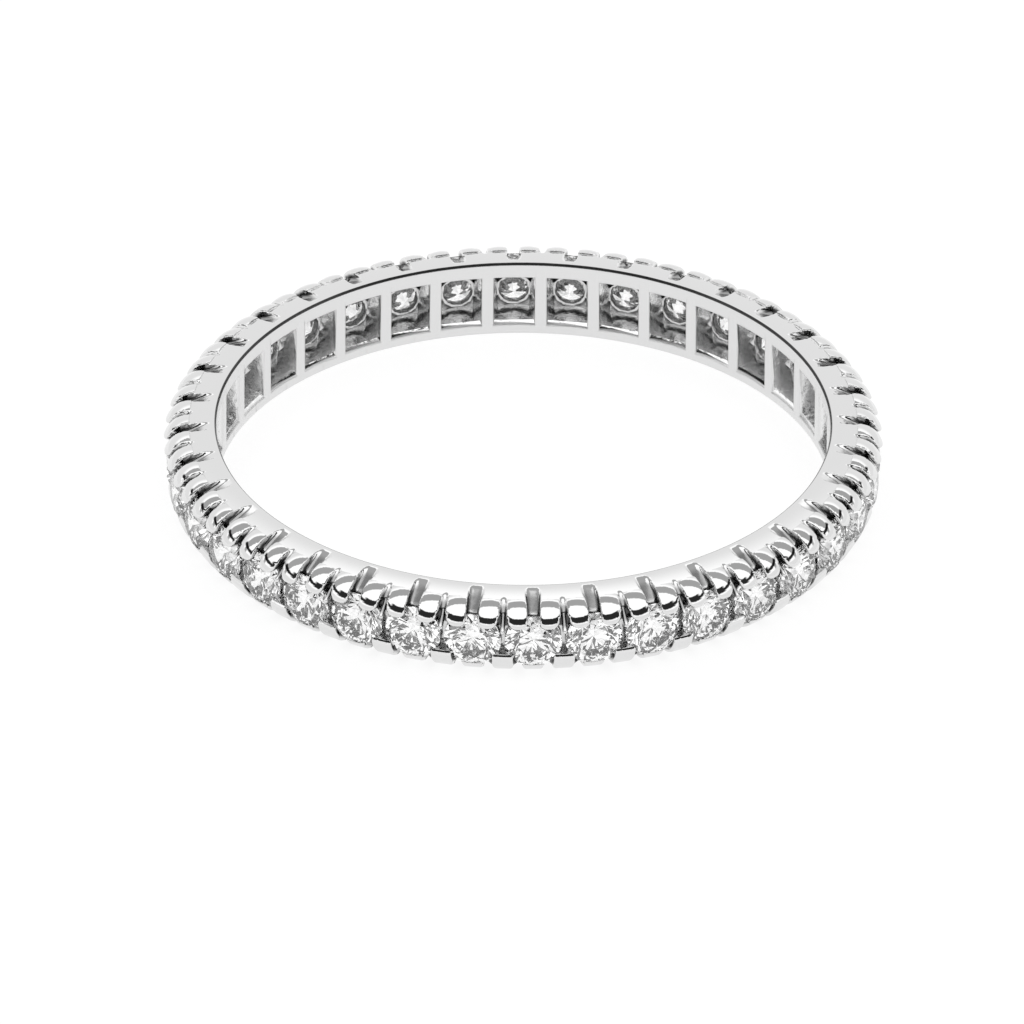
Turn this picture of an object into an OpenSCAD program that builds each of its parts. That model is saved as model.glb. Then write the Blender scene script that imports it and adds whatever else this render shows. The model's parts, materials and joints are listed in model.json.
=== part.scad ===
// Full eternity ring: a cast white metal band with one row of round brilliants all the way round.
// The ring lies on its side. Its axis is +Z, its lower side face is at z = 0, and stone_01 faces -Y.
// Each stone sits in a conical seat over a bored collar at the back of a square window in the finger wall.
// The upper shoulder is parted into pairs of fingers, by a scallop over each stone and a slit between stones.
// The lower shoulder is parted into claws, one under each stone and one between each two stones.

/* [Band] */
// Diameter of the finger hole
finger_d = 17; // [15:0.1:20]
// Width of the band, along the finger
band_w = 2.3; // [2.15:0.05:2.6]
// Radius of the round upper shoulder, between the side face and the fingertips
upper_shoulder_r = 0.78; // [0.72:0.01:0.84]
// Metal between a stone's girdle and the round lower shoulder
seat_wall = 0.06; // [0.05:0.01:0.09]
// Chamfer on the two edges of the finger hole
edge_chamfer = 0.05; // [0.02:0.01:0.08]

/* [Stones] */
// Diameter of each round brilliant
stone_d = 1.6; // [1.5:0.01:1.7]
// Least gap between the girdles of two neighbouring stones
stone_gap = 0.08; // [0.05:0.01:0.15]
// Height of the girdle plane above the finger wall
girdle_rise = 1.12; // [1.1:0.01:1.2]
// Thickness of the girdle
girdle_t = 0.05; // [0.03:0.01:0.07]
// Width of the table, as a share of the stone's diameter
table_share = 0.57; // [0.53:0.01:0.62]
// Angle of the crown's main facets, in degrees
crown_angle = 34.5; // [32:0.5:36]
// Angle of the pavilion's main facets, in degrees
pavilion_angle = 41; // [40:0.5:42]
// Gap between a stone and the metal that holds it
stone_fit = 0.02; // [0.01:0.005:0.03]

/* [Claws] */
// Height of the upper claws above the girdle plane
claw_rise = 0.38; // [0.36:0.01:0.4]
// Height of the lower claws above the girdle plane
lower_claw_rise = 0.3; // [0.28:0.01:0.32]
// How far the lower claws reach in over the edge of a stone
claw_grip = 0.1; // [0.07:0.01:0.13]
// Distance of the upper fingertips from the middle of the band
fingertip_rise = 0.58; // [0.54:0.01:0.6]
// Distance of the lower claws between two stones from the middle of the band
claw_drop = 0.3; // [0.25:0.01:0.36]
// Depth of the channel between the claws, below the girdle plane
channel_depth = 0.12; // [0.08:0.01:0.16]

/* [Scallops] */
// Width of the scallop over each stone
scallop_w = 0.44; // [0.4:0.01:0.48]
// Width of the scallops between the lower claws
lower_scallop_w = 0.26; // [0.25:0.01:0.28]
// Radius of the two floor corners of a scallop
scallop_corner_r = 0.11; // [0.09:0.01:0.12]
// Distance from the finger wall to where a scallop starts
scallop_start = 0.2; // [0.15:0.01:0.3]
// Slope of the scallop's floor, in degrees
scallop_slope = 24; // [22:0.5:26]

/* [Slits] */
// Width of the slit that parts a claw into two fingers, at its floor
slit_w = 0.16; // [0.12:0.01:0.2]
// Distance from the finger wall to where a slit starts
slit_start = 0.62; // [0.55:0.01:0.7]
// Slope of the slit's floor, in degrees
slit_slope = 38; // [36:0.5:40]
// Lean of the slit's walls, in degrees
slit_lean = 20; // [14:1:24]

/* [Windows] */
// Width of the post between two windows, at the finger wall
post_w = 0.33; // [0.28:0.01:0.4]
// Height of the rail above and below a window
rail_h = 0.43; // [0.38:0.01:0.48]
// Depth of a window from the finger wall to its back
window_depth = 0.62; // [0.56:0.01:0.66]
// Diameter of the bore under each stone
seat_bore_d = 0.84; // [0.76:0.01:0.88]
// Thickness of the round collar at the mouth of the bore
collar_wall = 0.08; // [0.06:0.01:0.1]
// How far the collar stands out of the back of the window
collar_h = 0.1; // [0.06:0.01:0.16]

/* [Hidden] */
$fn = 96;
finger_r = finger_d / 2;
mid_z = band_w / 2;
girdle_r = finger_r + girdle_rise;
claw_r = girdle_r + claw_rise;
stone_count = floor(180 / atan((stone_d + stone_gap) / 2 / girdle_r));
pitch = 360 / stone_count;

// The brilliant, measured from its girdle plane along its own axis
stone_r = stone_d / 2;
table_r = stone_r * table_share;
crown_h = (stone_r - table_r) * tan(crown_angle);
pavilion_h = stone_r * tan(pavilion_angle);
table_h = girdle_t / 2 + crown_h;
culet_h = -girdle_t / 2 - pavilion_h;
star_share = 0.5;     // how far the star facets run from the table's edge to the girdle
lower_share = 0.78;   // how far the lower girdle facets run from the girdle to the culet
mains = 8;            // main facets round the crown, and round the pavilion
half_step = 180 / mains;
// The star points and the lower points lie in the planes of the main facets on both sides of them
star_r = table_r * cos(half_step) * (1 - star_share) + stone_r * star_share;
star_h = girdle_t / 2 + crown_h * (stone_r - star_r * cos(half_step)) / (stone_r - table_r);
lower_r = stone_r * (1 - lower_share);
lower_h = -girdle_t / 2 - pavilion_h * (stone_r - lower_r * cos(half_step)) / stone_r;

// The metal round the stones
shoulder_drop = 0.01; // how far a shoulder arc would rise past its side face, so that the two meet in a line
upper_x = claw_r - upper_shoulder_r;
upper_z = band_w - upper_shoulder_r + shoulder_drop;
// The lower shoulder is the arc that leaves the seat wall at the girdle plane and ends at the lower claws
seat_fall = mid_z - stone_r - stone_fit - seat_wall;
lower_shoulder_r = lower_claw_rise + seat_fall + sqrt(2 * lower_claw_rise * seat_fall);
lower_x = girdle_r + lower_claw_rise - lower_shoulder_r;
lower_z = lower_shoulder_r - shoulder_drop;
open_r = stone_r - claw_grip;
window_w = 2 * finger_r * tan(pitch / 2) - post_w;
window_h = band_w - 2 * rail_h;
collar_r = seat_bore_d / 2 + collar_wall;
past = 1;             // how far a cut runs on past the metal
corner_steps = 3;     // straight cuts in each floor corner of a scallop
tip_taper = 0.02;     // how much wider than their scallop the claw tips stand apart, on each side

function two(n) = str(n < 10 ? "0" : "", n);
function stone_name(i) = str("stone_", two(i + 1));

// Puts children, drawn round +Z from the girdle plane, at the place of stone i, facing outwards
module at_stone(i) {
    rotate([0, 0, i * pitch - 90]) translate([girdle_r, 0, mid_z]) rotate([0, 90, 0]) children();
}

// Points of one round of a brilliant: n points at radius r and height h, turned by half steps
function ring_points(n, r, h, turn) =
    [for (k = [0 : n - 1]) [r * cos(turn + 360 * k / n), r * sin(turn + 360 * k / n), h]];

module brilliant() {
    points = concat(
        ring_points(mains, table_r, table_h, 0),
        ring_points(mains, star_r, star_h, half_step),
        ring_points(2 * mains, stone_r, girdle_t / 2, 0),
        ring_points(2 * mains, stone_r, -girdle_t / 2, 0),
        ring_points(mains, lower_r, lower_h, half_step),
        [[0, 0, culet_h]]
    );
    star = mains;
    upper = 2 * mains;
    lower = 4 * mains;
    half = 6 * mains;
    culet = 7 * mains;
    faces = concat(
        [[for (k = [mains - 1 : -1 : 0]) k]],
        [for (k = [0 : mains - 1]) let (next = (k + 1) % mains, before = (k + mains - 1) % mains) each [
            [k, next, star + k],
            [k, star + k, upper + 2 * k, star + before],
            [star + k, upper + 2 * k + 1, upper + 2 * k],
            [star + k, upper + 2 * next, upper + 2 * k + 1],
            [half + k, lower + 2 * k, lower + 2 * k + 1],
            [half + k, lower + 2 * k + 1, lower + 2 * next],
            [culet, half + before, lower + 2 * k, half + k]
        ]],
        [for (k = [0 : 2 * mains - 1]) let (next = (k + 1) % (2 * mains))
            [upper + k, upper + next, lower + next, lower + k]]
    );
    polyhedron(points, faces);
}

module stone(i) {
    color("aliceblue") at_stone(i) rotate([0, 0, half_step / 2]) brilliant();
}

// Half section of the band before it is cut, in radius and height
module band_section() {
    difference() {
        union() {
            translate([finger_r, 0]) square([lower_x - finger_r, band_w]);
            translate([finger_r, mid_z]) square([upper_x - finger_r, band_w - mid_z]);
            intersection() {
                translate([finger_r + edge_chamfer, 0]) square([claw_r, band_w]);
                union() {
                    translate([upper_x, upper_z]) circle(upper_shoulder_r);
                    translate([lower_x, lower_z]) circle(lower_shoulder_r);
                }
            }
        }
        for (z = [0, band_w]) translate([finger_r, z]) rotate(45) square(edge_chamfer * sqrt(2), center = true);
    }
}

// Channel between the upper fingertips and the lower claws
module channel() {
    rotate_extrude() translate([girdle_r - channel_depth, mid_z - claw_drop])
        square([past, claw_drop + fingertip_rise]);
}

// Room for a stone with its clearance, and the opening within its lower claws
module stone_room() {
    rotate_extrude() polygon([
        [0, table_h + stone_fit],
        [table_r, table_h + stone_fit],
        [star_r, star_h + stone_fit],
        [stone_r + stone_fit, girdle_t / 2 + stone_fit / 2],
        [stone_r + stone_fit, -girdle_t / 2],
        [0, culet_h - stone_fit]
    ]);
    linear_extrude(past) intersection() {
        circle(open_r);
        translate([0, -stone_r]) square([stone_r, 2 * stone_r]);
    }
}

// Window with its round collar left standing, drawn from the girdle plane as the stone is
module window() {
    translate([-window_h / 2, -window_w / 2, -girdle_rise - past])
        difference() {
            cube([window_h, window_w, past + window_depth]);
            translate([window_h / 2, window_w / 2, past + window_depth - collar_h])
                cylinder(r = collar_r, h = collar_h + past);
        }
    translate([0, 0, -girdle_rise]) cylinder(d = seat_bore_d, h = girdle_rise);
}

// Outline of a scallop across its length: a flat floor, two round corners and upright walls
module scallop_outline(w) {
    right = [for (k = [0 : corner_steps]) let (turn = 90 * k / corner_steps)
        [w / 2 - scallop_corner_r * (1 - sin(turn)), scallop_corner_r * (1 - cos(turn))]];
    left = [for (k = [corner_steps : -1 : 0]) [-right[k][0], right[k][1]]];
    polygon(concat(right, [[w / 2, past], [-w / 2, past]], left));
}

// Outline of a slit across its length: a round floor and leaning walls
module slit_outline() {
    top_w = slit_w + 2 * past * tan(slit_lean);
    translate([0, slit_w / 2]) {
        circle(d = slit_w * 1.04);
        polygon([[-slit_w / 2, 0], [slit_w / 2, 0], [top_w / 2, past], [-top_w / 2, past]]);
    }
}

// Cuts an outline outwards and down into the upper shoulder, from start away from the finger wall,
// or into the lower shoulder when lower is 1. Its place is a count of pitches from the first stone.
module groove(place, lower, start, slope) {
    rotate([0, 0, place * pitch - 90])
        translate([0, 0, mid_z]) mirror([0, 0, lower]) translate([finger_r + start, 0, mid_z])
        rotate([0, slope, 0]) translate([-past, 0, 0])
        rotate([90, 0, 90]) linear_extrude(past * 3) children();
}

// A scallop, with the gap between the tips of the claws on both sides of it
module scallop(place, lower, w) {
    groove(place, lower, scallop_start, scallop_slope) scallop_outline(w);
    rotate([0, 0, place * pitch - 90])
        translate([girdle_r, -w / 2 - tip_taper, mid_z - lower * stone_r])
        cube([past, w + 2 * tip_taper, stone_r]);
}

module band() {
    color("gainsboro") difference() {
        rotate_extrude() band_section();
        channel();
        for (i = [0 : stone_count - 1]) {
            at_stone(i) stone_room();
            at_stone(i) window();
            scallop(i, 0, scallop_w);
            groove(i + 1 / 2, 0, slit_start, slit_slope) slit_outline();
            scallop(i + 1 / 4, 1, lower_scallop_w);
            scallop(i + 3 / 4, 1, lower_scallop_w);
        }
    }
}

band();
for (i = [0 : stone_count - 1])
    stone(i);
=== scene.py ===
"""Looks for a full eternity ring that lies on its side on a white floor.

The stones are the solids of the frame with a diamond material. The band is made again as one finer mesh with
rounded edges. Its shape is a distance field: a function that gives, for any point, how far it lies from the
metal's surface, below zero inside the metal. One sector of it, with one stone's place, is turned into a mesh,
and a node tree sets that mesh round the axis. Lengths are in millimetres up to the last step of each mesh.
"""

import json
import math

import bpy
import numpy as np
from mathutils import Matrix, Vector


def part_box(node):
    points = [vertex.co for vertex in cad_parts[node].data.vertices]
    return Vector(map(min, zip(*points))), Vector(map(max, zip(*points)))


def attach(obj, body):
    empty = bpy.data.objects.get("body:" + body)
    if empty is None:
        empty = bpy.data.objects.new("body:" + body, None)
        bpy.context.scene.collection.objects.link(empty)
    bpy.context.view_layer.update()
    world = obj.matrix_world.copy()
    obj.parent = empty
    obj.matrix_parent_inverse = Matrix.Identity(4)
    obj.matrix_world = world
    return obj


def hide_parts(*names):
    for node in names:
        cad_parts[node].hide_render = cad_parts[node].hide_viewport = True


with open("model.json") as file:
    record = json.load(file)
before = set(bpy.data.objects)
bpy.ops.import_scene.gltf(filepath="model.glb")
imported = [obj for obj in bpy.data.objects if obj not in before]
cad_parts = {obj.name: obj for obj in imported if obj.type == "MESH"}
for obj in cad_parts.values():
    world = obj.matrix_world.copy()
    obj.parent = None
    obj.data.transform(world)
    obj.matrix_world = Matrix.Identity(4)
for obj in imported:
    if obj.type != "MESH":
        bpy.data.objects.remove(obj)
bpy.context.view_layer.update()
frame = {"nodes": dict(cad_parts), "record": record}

MM = 0.001
FIRST_TURN = math.radians(-90)      # stone_01 stands towards -Y

# Sizes taken from the frame
bore = next(mount for mount in frame["record"]["mounts"] if mount["name"] == "finger_bore")
finger_r = bore["dims"]["r_mm"]
band_low, band_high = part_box("band")
half_w = (band_high[2] - band_low[2]) / MM / 2
mid_z = half_w
stone_nodes = sorted(name for name in frame["nodes"] if name.startswith("stone_"))
stone_count = len(stone_nodes)
stone_low, stone_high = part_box(stone_nodes[0])
stone_r = (stone_high[0] - stone_low[0]) / MM / 2
pitch = 2 * math.pi / stone_count

# The band's own sizes. A start is a distance from the finger wall
girdle_r = finger_r + 1.12          # radius of the girdles' planes
girdle_t = 0.05                     # thickness of a stone's girdle
crown_angle = math.radians(34.5)
pavilion_angle = math.radians(41)
stone_fit = 0.02                    # gap between a stone and its seat
side_dome = 0.12                    # drop of the upper side face, per square of the distance from its rim
rim_w = 0.04                        # width of the bevel on the two edges of the finger hole
rim_angle = math.radians(59)        # how far the rim's bevel turns from the side face
finger_top_r = girdle_r + 0.38      # outermost radius of the upper fingers
finger_round = 0.78                 # radius of their round shoulder
finger_start = 0.76
finger_step = 0.05                  # height of the fingers' step above the shoulder behind it
finger_bulge = 0.5                  # drop of a finger's surface, per square of the distance from its middle
lower_claw_r = girdle_r + 0.3       # outermost radius of the lower claws
lower_round = 0.97                  # radius of their round shoulder
fingertip_rise = 0.54               # distance of the fingertips from the middle of the band
fingertip_w = 0.62                  # width of the outline that the fingertips are cut to
fingertip_round = 0.25              # rounding of a fingertip's two corners
claw_drop = 0.33                    # how far the claws between two stones lie below the middle of the band
claw_bevel_w = 0.1                  # bevel on the upper edge of these claws
claw_bevel_angle = math.radians(59)
open_r = stone_r - 0.1              # opening within the lower claws
channel_r = girdle_r - 0.12         # floor of the channel between the upper and the lower claws
scallop_w = 0.46
scallop_corner = 0.13               # rounding of a scallop's corners
lower_scallop_w = 0.26
scallop_start = 0.2
scallop_slope = math.radians(27)
scallop_taper = 0.07                # how much an upper scallop's walls close in, per length
slit_w = 0.16
slit_start = 0.62
slit_slope = math.radians(38)
slit_lean = math.radians(12)        # how far a slit's walls lean outwards
post_w = 0.33                       # metal between two windows
rail_h = 0.43                       # metal above and below them
window_drop = 0.04                  # how far the windows lie below the middle of the band
window_depth = 0.62
window_taper = 0.2                  # how much a window's walls close in, per length of depth
window_sill = 0.09                  # bevel on a window's lower edge
seat_bore_r = 0.42                  # bore of the collar behind a stone
collar_wall = 0.08
collar_h = 0.1
bead_r = 0.07                       # bead between two fingertips
bead_low = (1.36, 0.43)             # its ends: distance from the finger wall, and height above the middle
bead_high = (0.94, 0.8)

# How far each kind of edge is rounded
rim_round = 0.01
step_round = 0.02
groove_round = 0.03
finger_end_round = 0.07             # of the scallops and slits at the fingers' outer ends
lower_groove_round = 0.08
tip_round = 0.08
claw_round = 0.05
window_round = 0.035
window_corner_round = 0.03
seat_round = 0.02
collar_round = 0.02
collar_foot_round = 0.01

# Finish of the metal. Grooves and windows are rougher, because no polishing tool reaches there, and hold
# painted shade
satin_roughness = 0.3
recess_roughness = 0.2
polished_roughness = 0.03
metal_tone = 0.75
painted_rim_reflection_tone = 0.06                     # of the upper rim of the finger hole, a thin painted dark reflection
# Painted shade in grooves: darker floors, and walls darker still
groove_floor_shade_tone = 0.36
groove_wall_shade_tone = 0.08
# Painted light and shade in windows: lighter at the mouth, darker deeper in, darkest at the back
window_shade_tone = 0.66
window_mouth_light_tone = 0.9
window_end_shade_tone = 0.15              # of the back of a window, painted shade
grain_scale = 6 / MM                # of the cast grain, a bump that is strong in windows and weak in grooves
grain_depth = 0.02 * MM
window_grain = 0.8
groove_grain = 0.1

# Where one finish or painted shade turns into the next: start and end of each change, as distances from the
# finger wall
satin_fade = (0.02, 0.06)
rim_fade = (rim_w + 0.005, rim_w + 0.025)
mouth_fade = (0.05, 0.35)
end_fade = (window_depth, window_depth + 0.03)
channel_fade = (channel_r - finger_r - 0.06, channel_r - finger_r - 0.02)

# The same as depths below the surface of the uncut band
recess_fade = (0.05, 0.13)
end_depth_fade = (window_depth - 0.08, window_depth - 0.02)

# The same as heights above the middle of the band
rim_height_fade = (half_w - 0.12, half_w - 0.1)

# And as how squarely the surface faces up, for the rim, and up or down, for the floor of a groove
rim_facing = (0.2, 0.35)
floor_facing = (0.3, 0.7)

# How far from the middle of the band a window or a stone's seat reaches, and the change past that
window_reach = half_w - rail_h + 0.05
seat_reach = fingertip_rise - 0.15
reach_fade = (0, 0.06)

# How finely the field is sampled, and how many triangles one sector keeps
cell = 0.03
weld_distance = 0.002
sector_triangles = 5400
least_slope = 0.5                   # smallest slope of the field that a point's move is worked out from
normal_pull = 0.35                  # how far towards a triangle's middle its corners' normals are taken
rim_zone_w = 0.12                   # zone near the rims that keeps most of its triangles
rim_zone_h = 0.15
finger_zone_start = 0.15            # zone near the outer surface that keeps more of them than the rest does
finger_zone_depth = 0.06
rim_thinning = 0.3                  # how readily each zone is thinned
finger_thinning = 0.5
other_thinning = 1


def rounded(a, b, radius):
    """Distance to what lies inside both a and b, with the edge between them rounded."""
    near = np.hypot(np.maximum(a + radius, 0), np.maximum(b + radius, 0))
    return np.minimum(np.maximum(a, b), -radius) + near


def box_outline(across, along, half, corner):
    """Distance to a strip of width 2 * half that starts at along = 0 and has two round corners there."""
    u = np.abs(across) - (half - corner)
    v = corner - along
    return np.hypot(np.maximum(u, 0), np.maximum(v, 0)) + np.minimum(np.maximum(u, v), 0) - corner


def in_plane(x, y, turn):
    """Distance outwards along a plane through the axis that stands at a turn, and sideways from it."""
    return x * math.cos(turn) + y * math.sin(turn), y * math.cos(turn) - x * math.sin(turn)


def floor_height(out, height, start, slope):
    """Height above the floor of a groove that runs outwards and down from a side face."""
    return (out - finger_r - start) * math.sin(slope) + (height - half_w) * math.cos(slope)


def shoulder(r, rise, out_r, top, radius):
    """Distance to what lies within an outer radius and below a top height, with a round edge between them."""
    u = r - (out_r - radius)
    v = rise - (top - radius)
    return np.hypot(np.maximum(u, 0), np.maximum(v, 0)) + np.minimum(np.maximum(u, v), 0) - radius


def uncut(x, y, height):
    """Distance to the uncut band: a sloping upper side face, fingers a step above it, a lower shoulder."""
    r = np.hypot(x, y)
    out = r - finger_r
    off_finger = in_plane(x, np.abs(y), pitch / 4)[1]
    base = shoulder(r, height, finger_top_r - finger_step, half_w, finger_round)
    face = height - half_w + side_dome * (out - rim_w) ** 2
    fingers = shoulder(r, height, finger_top_r, half_w, finger_round) + finger_bulge * off_finger ** 2
    fingers = rounded(fingers, finger_start - out, step_round)
    upper = np.minimum(np.maximum(base, face), fingers)
    lower = shoulder(r, -height, lower_claw_r, half_w, lower_round)
    rim = (np.abs(height) - half_w) * math.cos(rim_angle) + (rim_w - out) * math.sin(rim_angle)
    sides = rounded(np.where(height > 0, upper, lower), rim, rim_round)
    return rounded(sides, -out, rim_round)


def scallop(out, across, height, width, taper=0):
    """A scallop with round corners in a shoulder, and the gap between the claw tips on both sides of it."""
    depth = floor_height(out, height, scallop_start, scallop_slope)
    half = width / 2 - taper * (out - finger_r - scallop_start)
    groove = box_outline(across, depth, half, min(scallop_corner, width / 2))
    gap = np.maximum(np.maximum(girdle_r - out, np.abs(across) - half),
                     np.abs(height - stone_r / 2) - stone_r / 2)
    return np.minimum(groove, gap)


def slit(out, across, height):
    """A slit with a round floor and leaning walls between two upper fingers."""
    rise = floor_height(out, height, slit_start, slit_slope) - slit_w / 2
    floor = np.hypot(across, rise) - slit_w / 2
    walls = (np.abs(across) - slit_w / 2) * math.cos(slit_lean) - rise * math.sin(slit_lean)
    return np.minimum(floor, np.maximum(walls, -rise))


def channel(r, across, height):
    """The channel round the band, between the rounded fingertips and the lower claws."""
    tip = box_outline(across, height - fingertip_rise, fingertip_w / 2, fingertip_round)
    top = height - fingertip_rise - fingertip_round
    bevel = (height + claw_drop) * math.cos(claw_bevel_angle)
    bevel = bevel + (r - lower_claw_r + claw_bevel_w) * math.sin(claw_bevel_angle)
    bottom = np.minimum(-claw_drop - height, -bevel)
    return np.maximum(np.maximum(channel_r - r, bottom), np.maximum(top, -tip))


def stone_room(out, around, height):
    """Room for a stone in its seat, and the opening within its lower claws."""
    rise = out - girdle_r
    crown = (rise - girdle_t / 2 - stone_fit) * math.cos(crown_angle)
    crown = crown + (around - stone_r) * math.sin(crown_angle)
    pavilion = (-rise - girdle_t / 2 - stone_fit) * math.cos(pavilion_angle)
    pavilion = pavilion + (around - stone_r) * math.sin(pavilion_angle)
    room = np.maximum(np.maximum(crown, pavilion), around - stone_r - stone_fit)
    opening = np.maximum(np.maximum(around - open_r, -rise), height)
    return np.minimum(room, opening)


def window(out, across, around, height):
    """A window in the finger wall that narrows outwards, with a bored collar at its back."""
    narrower = window_taper * (out - finger_r)
    sill = np.where(height < 0, np.maximum(window_sill - out + finger_r, 0), 0)
    sides = rounded(np.abs(across) - finger_r * math.tan(pitch / 2) + post_w / 2 + narrower,
                    np.abs(height + window_drop) - half_w + rail_h + narrower - sill, window_corner_round)
    hole = rounded(sides, out - finger_r - window_depth, window_corner_round)
    collar_top = finger_r + window_depth - collar_h
    collar = rounded(around - seat_bore_r - collar_wall, collar_top - out, collar_round)
    bored = np.maximum(around - seat_bore_r, out - girdle_r)
    return np.minimum(rounded(hole, -collar, collar_foot_round), bored)


def bead(out, across, height):
    """The bead between two fingertips: a rod with round ends."""
    u = out - finger_r - bead_low[0]
    v = height - bead_low[1]
    run_u = bead_high[0] - bead_low[0]
    run_v = bead_high[1] - bead_low[1]
    share = np.clip((u * run_u + v * run_v) / (run_u ** 2 + run_v ** 2), 0, 1)
    return np.sqrt((u - share * run_u) ** 2 + across ** 2 + (v - share * run_v) ** 2) - bead_r


def band_field(x, y, z):
    """Distance to the metal in a sector whose stone's axis is +X. Its two halves are alike."""
    height = z - mid_z
    side = np.abs(y)
    r = np.hypot(x, y)
    around = np.hypot(y, height)
    quarter_out, quarter_across = in_plane(x, side, pitch / 4)
    joint_out, joint_across = in_plane(x, side, pitch / 2)

    metal = uncut(x, y, height)
    run = np.clip((r - finger_r - finger_start) / (finger_top_r - finger_r - finger_start), 0, 1)
    side_round = groove_round + (finger_end_round - groove_round) * run
    metal = rounded(metal, -scallop(x, y, height, scallop_w, scallop_taper), side_round)
    lower_scallop = scallop(quarter_out, quarter_across, -height, lower_scallop_w)
    metal = rounded(metal, -lower_scallop, lower_groove_round)
    metal = rounded(metal, -slit(joint_out, joint_across, height), side_round)
    metal = rounded(metal, -channel(r, quarter_across, height), np.where(height > 0, tip_round, claw_round))
    metal = rounded(metal, -stone_room(x, around, height), seat_round)
    metal = rounded(metal, -window(x, y, around, height), window_round)
    return np.minimum(metal, bead(joint_out, joint_across, height))


def field_slope(x, y, z, step=0.002):
    """Direction in which the field rises fastest, from differences over a short step."""
    return np.stack([
        band_field(x + step, y, z) - band_field(x - step, y, z),
        band_field(x, y + step, z) - band_field(x, y - step, z),
        band_field(x, y, z + step) - band_field(x, y, z - step),
    ], axis=-1) / (2 * step)


def onto_surface(points, rounds=4):
    """Moves points along the field's slope until they lie on the metal's surface."""
    for _ in range(rounds):
        value = band_field(*points.T)
        slope = field_slope(*points.T)
        steep = np.maximum((slope ** 2).sum(axis=1), least_slope ** 2)
        points = points - slope * np.clip(value / steep, -cell / 2, cell / 2)[:, None]
    return points


def sector_surface():
    """Points and four-sided faces of the metal's surface in one sector.

    Each cell of a grid in turn, radius and height that the surface passes through gets one point, the mean of
    the places where the surface crosses the cell's edges. Each crossed edge gets one face, between the points
    of the four cells round it. The last layer of cells repeats the first one, one pitch on.
    """
    turns = round(pitch * girdle_r / cell / 2) * 2
    turn = (np.arange(turns + 2) / turns - 0.5) * pitch
    radius = np.arange(finger_r - 1.5 * cell, finger_top_r + 2 * cell, cell)
    height = np.arange(-1.5 * cell, 2 * half_w + 2 * cell, cell)
    a, r, z = np.meshgrid(turn, radius, height, indexing="ij")
    folded = (a + pitch / 2) % pitch - pitch / 2
    value = band_field(r * np.cos(folded), r * np.sin(folded), z)
    inside = value < 0

    corner_grid = np.stack([a, r, z], axis=-1)
    cells = tuple(n - 1 for n in value.shape)
    total = np.zeros(cells + (3,))
    count = np.zeros(cells)
    for axis in range(3):
        low = [slice(None)] * 3
        high = [slice(None)] * 3
        low[axis] = slice(None, -1)
        high[axis] = slice(1, None)
        low = tuple(low)
        high = tuple(high)
        crossed = inside[low] != inside[high]
        gap = value[low] - value[high]
        share = value[low] / np.where(crossed, gap, 1)
        place = corner_grid[low] + share[..., None] * (corner_grid[high] - corner_grid[low])
        others = [n for n in range(3) if n != axis]
        for first in (0, 1):
            for second in (0, 1):
                pick = [slice(None)] * 3
                pick[others[0]] = slice(first, first + cells[others[0]])
                pick[others[1]] = slice(second, second + cells[others[1]])
                pick = tuple(pick)
                total += np.where(crossed[pick][..., None], place[pick], 0)
                count += crossed[pick]
    used = count > 0
    number = np.full(cells, -1)
    number[used] = np.arange(used.sum())
    mean = total[used] / count[used][:, None]
    points = np.stack([mean[:, 1] * np.cos(mean[:, 0]), mean[:, 1] * np.sin(mean[:, 0]), mean[:, 2]], axis=-1)

    faces = []
    for axis in range(3):
        others = [(axis + 1) % 3, (axis + 2) % 3]
        low = [slice(None)] * 3
        high = [slice(None)] * 3
        low[axis] = slice(None, -1)
        high[axis] = slice(1, None)
        for n in others:
            low[n] = slice(1, -1)
            high[n] = slice(1, -1)
        leaving = inside[tuple(low)] & ~inside[tuple(high)]
        entering = ~inside[tuple(low)] & inside[tuple(high)]
        for chosen, order in ((leaving, (3, 2, 1, 0)), (entering, (0, 1, 2, 3))):
            where = np.argwhere(chosen)
            where[:, others] += 1
            ring = []
            for first, second in ((0, 0), (1, 0), (1, 1), (0, 1)):
                corner = where.copy()
                corner[:, others[0]] += first - 1
                corner[:, others[1]] += second - 1
                ring.append(number[tuple(corner.T)])
            faces.append(np.stack([ring[k] for k in order], axis=-1))
    return points, np.concatenate(faces)


def folded_to_sector(points):
    """The points turned by whole pitches into the sector round +X, and the turns that bring them back."""
    turn = np.arctan2(points[:, 1], points[:, 0])
    back = turn - ((turn + pitch / 2) % pitch - pitch / 2)
    return turned(points, -back), back


def turned(points, turn):
    """The points turned about the axis."""
    x = points[:, 0] * np.cos(turn) - points[:, 1] * np.sin(turn)
    y = points[:, 0] * np.sin(turn) + points[:, 1] * np.cos(turn)
    return np.stack([x, y, points[:, 2]], axis=-1)


def snapped(points):
    """The points moved onto the metal's surface."""
    near, back = folded_to_sector(points)
    return turned(onto_surface(near), back)


def object_from(name, points, faces):
    """A mesh object from arrays of points and faces."""
    mesh = bpy.data.meshes.new(name)
    mesh.from_pydata(points.tolist(), [], faces.tolist())
    piece = bpy.data.objects.new(name, mesh)
    bpy.context.collection.objects.link(piece)
    return piece


def applied(piece):
    """The object with its modifiers' result as its mesh, and no modifiers left."""
    shown = piece.evaluated_get(bpy.context.evaluated_depsgraph_get())
    mesh = bpy.data.meshes.new_from_object(shown)
    piece.modifiers.clear()
    piece.data = mesh
    return piece


def points_of(mesh):
    """The mesh's points as an array."""
    flat = np.empty(3 * len(mesh.vertices))
    mesh.vertices.foreach_get("co", flat)
    return flat.reshape(-1, 3)


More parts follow.
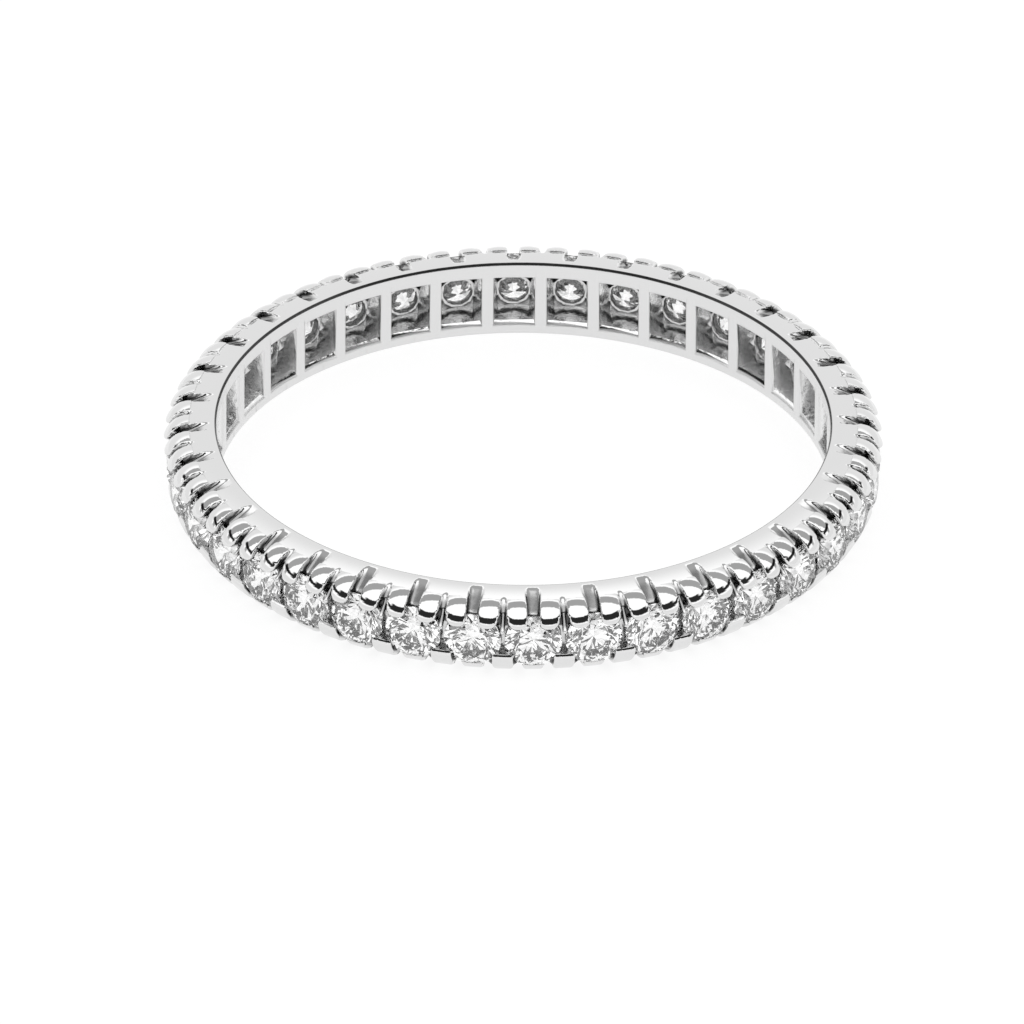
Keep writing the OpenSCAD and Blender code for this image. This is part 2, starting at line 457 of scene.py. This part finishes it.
def sector_piece():
    """One sector's surface with few triangles where it is flat. Its open edges keep all their points."""
    points, faces = sector_surface()
    piece_points = snapped(points)
    piece = object_from("sector", piece_points, faces)
    edges = np.array([edge.vertices for edge in piece.data.edges])
    sides = np.concatenate([faces[:, [k, (k + 1) % 4]] for k in range(4)])
    number = len(points)
    keys, uses = np.unique(np.sort(sides, axis=1) @ (number, 1), return_counts=True)
    on_border = np.zeros(number, bool)
    border = keys[uses == 1]
    on_border[border // number] = True
    on_border[border % number] = True
    kept = on_border.copy()
    kept[edges[on_border[edges].any(axis=1)].ravel()] = True
    free = piece.vertex_groups.new(name="free")
    x, y, z = piece_points.T
    out = np.hypot(x, y) - finger_r
    height = z - mid_z
    at_rim = (out < rim_zone_w) & (np.abs(height) > half_w - rim_zone_h)
    on_fingers = (uncut(x, y, height) > -finger_zone_depth) & (out > finger_zone_start)
    zones = ((at_rim, rim_thinning), (on_fingers, finger_thinning), (~at_rim & ~on_fingers, other_thinning))
    for chosen, thinning in zones:
        free.add(np.flatnonzero(~kept & chosen).tolist(), thinning, "REPLACE")
    decimate = piece.modifiers.new("fewer triangles", "DECIMATE")
    decimate.ratio = sector_triangles / (2 * len(faces))
    decimate.use_collapse_triangulate = True
    decimate.vertex_group = free.name
    return applied(piece)


def ring_tree(metal):
    """Node tree that sets a sector round the axis, joins the copies and gives them the metal."""
    tree = bpy.data.node_groups.new("sectors round the axis", "GeometryNodeTree")
    face = tree.interface
    face.new_socket("Geometry", in_out="INPUT", socket_type="NodeSocketGeometry")
    face.new_socket("Count", in_out="INPUT", socket_type="NodeSocketInt")
    face.new_socket("Weld Distance", in_out="INPUT", socket_type="NodeSocketFloat")
    face.new_socket("Geometry", in_out="OUTPUT", socket_type="NodeSocketGeometry")
    new = tree.nodes.new
    link = tree.links.new
    given = new("NodeGroupInput")
    places = new("GeometryNodePoints")
    link(given.outputs["Count"], places.inputs["Count"])
    index = new("GeometryNodeInputIndex")
    share = new("ShaderNodeMath")
    share.operation = "DIVIDE"
    link(index.outputs[0], share.inputs[0])
    link(given.outputs["Count"], share.inputs[1])
    angle = new("ShaderNodeMath")
    angle.operation = "MULTIPLY"
    angle.inputs[1].default_value = 2 * math.pi
    link(share.outputs[0], angle.inputs[0])
    rotation = new("ShaderNodeCombineXYZ")
    link(angle.outputs[0], rotation.inputs["Z"])
    copies = new("GeometryNodeInstanceOnPoints")
    link(places.outputs[0], copies.inputs["Points"])
    link(given.outputs["Geometry"], copies.inputs["Instance"])
    link(rotation.outputs[0], copies.inputs["Rotation"])
    real = new("GeometryNodeRealizeInstances")
    link(copies.outputs[0], real.inputs[0])
    weld = new("GeometryNodeMergeByDistance")
    link(real.outputs[0], weld.inputs["Geometry"])
    link(given.outputs["Weld Distance"], weld.inputs["Distance"])
    paint = new("GeometryNodeSetMaterial")
    paint.inputs["Material"].default_value = metal
    link(weld.outputs[0], paint.inputs["Geometry"])
    result = new("NodeGroupOutput")
    link(paint.outputs[0], result.inputs[0])
    return tree


def socket_of(tree, name):
    """Identifier of a node tree's input, by its name."""
    return next(item.identifier for item in tree.interface.items_tree
                if item.item_type == "SOCKET" and item.in_out == "INPUT" and item.name == name)


def make_band(metal):
    """The band: sectors set round the axis, welded, shaded by the field's own slope and scaled to metres."""
    piece = sector_piece()
    piece.name = "band_metal"
    tree = ring_tree(metal)
    modifier = piece.modifiers.new("sectors", "NODES")
    modifier.node_group = tree
    modifier[socket_of(tree, "Count")] = stone_count
    modifier[socket_of(tree, "Weld Distance")] = weld_distance
    piece = applied(piece)
    points = snapped(points_of(piece.data))
    corners = np.empty(3 * len(piece.data.polygons), int)
    piece.data.loops.foreach_get("vertex_index", corners)
    triangles = points[corners].reshape(-1, 3, 3)
    middles = triangles.mean(axis=1)[:, None, :]
    near, back = folded_to_sector((triangles + (middles - triangles) * normal_pull).reshape(-1, 3))
    slope = turned(field_slope(*near.T), back)
    normals = turned(slope / np.linalg.norm(slope, axis=1)[:, None], FIRST_TURN)
    piece.data.vertices.foreach_set("co", (turned(points, FIRST_TURN) * MM).ravel())
    piece.data.polygons.foreach_set("use_smooth", [True] * len(piece.data.polygons))
    piece.data.update()
    piece.data.normals_split_custom_set(normals.tolist())
    # Depth below the uncut band, for the rougher finish and the painted shade in grooves and windows
    near, back = folded_to_sector(points)
    below = -uncut(near[:, 0], near[:, 1], near[:, 2] - mid_z)
    depth = piece.data.attributes.new("depth", "FLOAT", "POINT")
    depth.data.foreach_set("value", below)
    return piece


# Materials

class Tree:
    """Short calls for building a node tree's arithmetic."""

    def __init__(self, tree):
        self.tree = tree

    def node(self, kind, **settings):
        """A new node with these settings."""
        made = self.tree.nodes.new(kind)
        for name, value in settings.items():
            setattr(made, name, value)
        return made

    def feed(self, socket, value):
        """Gives a socket a number, or another node's output."""
        if isinstance(value, (int, float)):
            socket.default_value = value
        else:
            self.tree.links.new(value, socket)

    def math(self, operation, *values):
        """The result of a sum on these values."""
        made = self.node("ShaderNodeMath", operation=operation)
        for socket, value in zip(made.inputs, values):
            self.feed(socket, value)
        return made.outputs[0]

    def mix(self, share, first, second):
        """The first value where the share is 0, and the second where it is 1."""
        made = self.node("ShaderNodeMix", data_type="FLOAT")
        self.feed(made.inputs["Factor"], share)
        self.feed(made.inputs["A"], first)
        self.feed(made.inputs["B"], second)
        return made.outputs["Result"]

    def rising(self, value, fade):
        """0 below the start of the fade and 1 past its end."""
        made = self.node("ShaderNodeMapRange", interpolation_type="SMOOTHSTEP")
        self.feed(made.inputs["Value"], value)
        made.inputs["From Min"].default_value = fade[0]
        made.inputs["From Max"].default_value = fade[1]
        return made.outputs[0]

    def falling(self, value, fade):
        """1 below the start of the fade and 0 past its end."""
        return self.math("SUBTRACT", 1, self.rising(value, fade))

    def between(self, value, reach, edge):
        """1 within the reach and 0 outside it, with a soft edge at both ends."""
        rise = self.rising(value, (reach[0], reach[0] + edge))
        fall = self.rising(value, (reach[1] - edge, reach[1]))
        return self.math("SUBTRACT", rise, fall)


def plain_material(name):
    """A material with its surface shader."""
    material = bpy.data.materials.new(name)
    material.use_nodes = True
    return material, material.node_tree.nodes["Principled BSDF"]


def metal_material():
    """Polished white gold with a satin finger wall, rougher grooves and windows, and painted shade and light
    in its colour.
    """
    material, shader = plain_material("polished_white_gold")
    shader.inputs["Metallic"].default_value = 1
    t = Tree(material.node_tree)
    place = t.node("ShaderNodeTexCoord")
    parts = t.node("ShaderNodeSeparateXYZ")
    t.feed(parts.inputs[0], place.outputs["Object"])
    x, y, z = parts.outputs
    out = t.math("SQRT", t.math("ADD", t.math("MULTIPLY", x, x), t.math("MULTIPLY", y, y)))
    out = t.math("SUBTRACT", t.math("DIVIDE", out, MM), finger_r)
    height = t.math("SUBTRACT", t.math("DIVIDE", z, MM), mid_z)
    off_middle = t.math("ABSOLUTE", height)
    depth = t.node("ShaderNodeAttribute", attribute_name="depth").outputs["Fac"]
    recess = t.rising(depth, recess_fade)
    normal = t.node("ShaderNodeSeparateXYZ")
    t.feed(normal.inputs[0], place.outputs["Normal"])
    upwards = normal.outputs["Z"]

    finish = t.mix(t.rising(out, satin_fade), satin_roughness, polished_roughness)
    t.feed(shader.inputs["Roughness"], t.mix(recess, finish, recess_roughness))

    # Painted dark reflection along the bevel of the finger hole's upper rim
    rim = t.math("MULTIPLY", t.falling(out, rim_fade), t.rising(upwards, rim_facing))
    rim = t.math("MULTIPLY", rim, t.rising(height, rim_height_fade))
    # Painted light at a window's mouth, painted shade deeper in, darkest at its back
    window_end = t.math("MULTIPLY", t.rising(depth, end_depth_fade), t.falling(out, end_fade))
    in_hole = t.mix(t.rising(out, mouth_fade), window_mouth_light_tone, window_shade_tone)
    in_hole = t.mix(window_end, in_hole, window_end_shade_tone)
    # Painted shade in grooves, darkest on their walls
    level = t.rising(t.math("ABSOLUTE", upwards), floor_facing)
    in_groove = t.mix(level, groove_wall_shade_tone, groove_floor_shade_tone)
    reach = t.mix(t.rising(out, channel_fade), window_reach, seat_reach)
    grooved = t.rising(t.math("SUBTRACT", off_middle, reach), reach_fade)
    # The metal's tone, with the painted shade, painted light and painted rim reflection mixed in
    tone = t.mix(recess, t.mix(rim, metal_tone, painted_rim_reflection_tone), t.mix(grooved, in_hole, in_groove))
    colour = t.node("ShaderNodeCombineColor")
    for socket in colour.inputs:
        t.feed(socket, tone)
    t.feed(shader.inputs["Base Color"], colour.outputs[0])

    grain = t.node("ShaderNodeTexNoise")
    t.feed(grain.inputs["Vector"], place.outputs["Object"])
    grain.inputs["Scale"].default_value = grain_scale
    bump = t.node("ShaderNodeBump")
    bump.inputs["Distance"].default_value = grain_depth
    t.feed(bump.inputs["Strength"], t.math("MULTIPLY", recess, t.mix(grooved, window_grain, groove_grain)))
    t.feed(bump.inputs["Height"], grain.outputs["Fac"])
    t.feed(shader.inputs["Normal"], bump.outputs["Normal"])
    return material


def diamond_material():
    """Clear diamond."""
    material, shader = plain_material("diamond")
    shader.inputs["Base Color"].default_value = (1, 1, 1, 1)
    shader.inputs["Roughness"].default_value = 0
    shader.inputs["IOR"].default_value = 2.417
    shader.inputs["Transmission Weight"].default_value = 1
    return material


def floor_material():
    """White paper that gives off light of its own, so that the ring's shadow on it is faint."""
    material, shader = plain_material("white_floor")
    shader.inputs["Base Color"].default_value = (0.2, 0.2, 0.2, 1)
    shader.inputs["Roughness"].default_value = 0.8
    shader.inputs["Specular IOR Level"].default_value = 0.1
    shader.inputs["Emission Color"].default_value = (1, 1, 1, 1)
    shader.inputs["Emission Strength"].default_value = 0.86
    return material


# Stage

def make_floor():
    """A plain floor that the ring lies on, six metres wide."""
    half = 3.0
    corners = np.array([(-half, -half, 0), (half, -half, 0), (half, half, 0), (-half, half, 0)])
    floor = object_from("floor", corners, np.array([(0, 1, 2, 3)]))
    floor.data.materials.append(floor_material())


def make_camera():
    """The photograph's camera: far away, above the floor, and turned a little round the ring."""
    elevation = math.radians(31.66)
    roll = math.radians(-0.36)
    azimuth = math.radians(-1.85)
    distance = 100 * finger_r * MM
    frame_w = 1024                      # width of the photograph, in pixels
    hole_half_w = 306.5                 # half the width of the finger hole in it
    centre_px = (522.9, 493.1)          # where the origin lies in it
    pixels_per_mm = hole_half_w / finger_r
    right = Vector((1, 0, 0))
    up = Vector((0, math.sin(elevation), math.cos(elevation)))
    back = Vector((0, -math.cos(elevation), math.sin(elevation)))
    rolled_right = right * math.cos(roll) - up * math.sin(roll)
    rolled_up = right * math.sin(roll) + up * math.cos(roll)
    side = (centre_px[0] - frame_w / 2) / pixels_per_mm * MM
    rise = (frame_w / 2 - centre_px[1]) / pixels_per_mm * MM
    matrix = Matrix((rolled_right, rolled_up, back)).transposed().to_4x4()
    matrix.translation = back * distance - rolled_right * side - rolled_up * rise
    data = bpy.data.cameras.new("camera")
    data.sensor_width = 36
    data.lens = data.sensor_width * pixels_per_mm * distance / MM / frame_w
    data.clip_start = 0.01
    data.clip_end = 10
    camera = bpy.data.objects.new("camera", data)
    bpy.context.collection.objects.link(camera)
    camera.matrix_world = Matrix.Rotation(azimuth, 4, "Z") @ matrix
    bpy.context.scene.camera = camera


def make_light():
    """Soft white light from all sides, with cards that give the polished metal its contrast.

    A black card stands in front, and a narrow black strip runs on from it round both sides. A grey card hangs
    overhead. The light is dimmer low behind the ring and near the floor. Angles are in degrees.
    """
    card_rise = (18, 44)                # lowest and highest elevation
    card_round = (58, 74)               # distance round from the front over which it fades out
    strip_rise = (22, 35)
    strip_round = (118, 126)
    card_edge = 3
    card_black = 0.98
    overhead_reach = (2, 38)            # from the zenith towards the back
    overhead_edge = 4
    overhead_height = (0.2, 0.3)        # height, as a share of the zenith's, over which it fades in
    overhead_grey = 0.66
    low_back_fade = (38, 57)            # from the zenith towards the back
    low_back_light = 0.7
    horizon_fade = (12, 18)
    horizon_light = 0.7
    strength = 1.4

    world = bpy.data.worlds.new("studio")
    bpy.context.scene.world = world
    world.use_nodes = True
    world.node_tree.nodes.clear()
    t = Tree(world.node_tree)
    place = t.node("ShaderNodeTexCoord")
    parts = t.node("ShaderNodeSeparateXYZ")
    t.feed(parts.inputs[0], place.outputs["Generated"])
    x, y, z = parts.outputs
    degrees = 180 / math.pi
    rise = t.math("MULTIPLY", t.math("ARCSINE", z), degrees)
    from_front = t.math("MULTIPLY", t.math("ARCTAN2", x, t.math("MULTIPLY", y, -1)), degrees)
    from_front = t.math("ABSOLUTE", from_front)
    behind = t.math("MULTIPLY", t.math("ARCTAN2", y, z), degrees)

    card = t.math("MULTIPLY", t.between(rise, card_rise, card_edge), t.falling(from_front, card_round))
    strip = t.math("MULTIPLY", t.between(rise, strip_rise, card_edge), t.falling(from_front, strip_round))
    black = t.math("MULTIPLY", t.math("MAXIMUM", card, strip), card_black)
    overhead = t.between(behind, overhead_reach, overhead_edge)
    overhead = t.math("MULTIPLY", overhead, t.rising(z, overhead_height))
    grey = t.math("MULTIPLY", overhead, overhead_grey)
    low_back = t.mix(t.rising(behind, low_back_fade), 1, low_back_light)
    horizon = t.mix(t.rising(rise, horizon_fade), horizon_light, 1)
    light = t.math("MULTIPLY", t.math("SUBTRACT", 1, black), t.math("SUBTRACT", 1, grey))
    light = t.math("MULTIPLY", light, t.math("MINIMUM", low_back, horizon))
    colour = t.node("ShaderNodeCombineColor")
    for socket in colour.inputs:
        t.feed(socket, light)
    shine = t.node("ShaderNodeBackground")
    t.feed(shine.inputs["Color"], colour.outputs[0])
    shine.inputs["Strength"].default_value = strength
    result = t.node("ShaderNodeOutputWorld")
    t.feed(result.inputs["Surface"], shine.outputs[0])


def set_render():
    """Enough bounces for light to find its way through the stones, and plain colours."""
    scene = bpy.context.scene
    scene.view_settings.view_transform = "Standard"
    scene.cycles.max_bounces = 24
    scene.cycles.transmission_bounces = 20
    scene.cycles.glossy_bounces = 8
    scene.cycles.diffuse_bounces = 4


# The scene itself

make_floor()
make_camera()
make_light()
set_render()

band = make_band(metal_material())
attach(band, "root")
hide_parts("band")

diamond = diamond_material()
for name in stone_nodes:
    for place in frame["nodes"][name].material_slots:
        place.link = "OBJECT"
        place.material = diamond
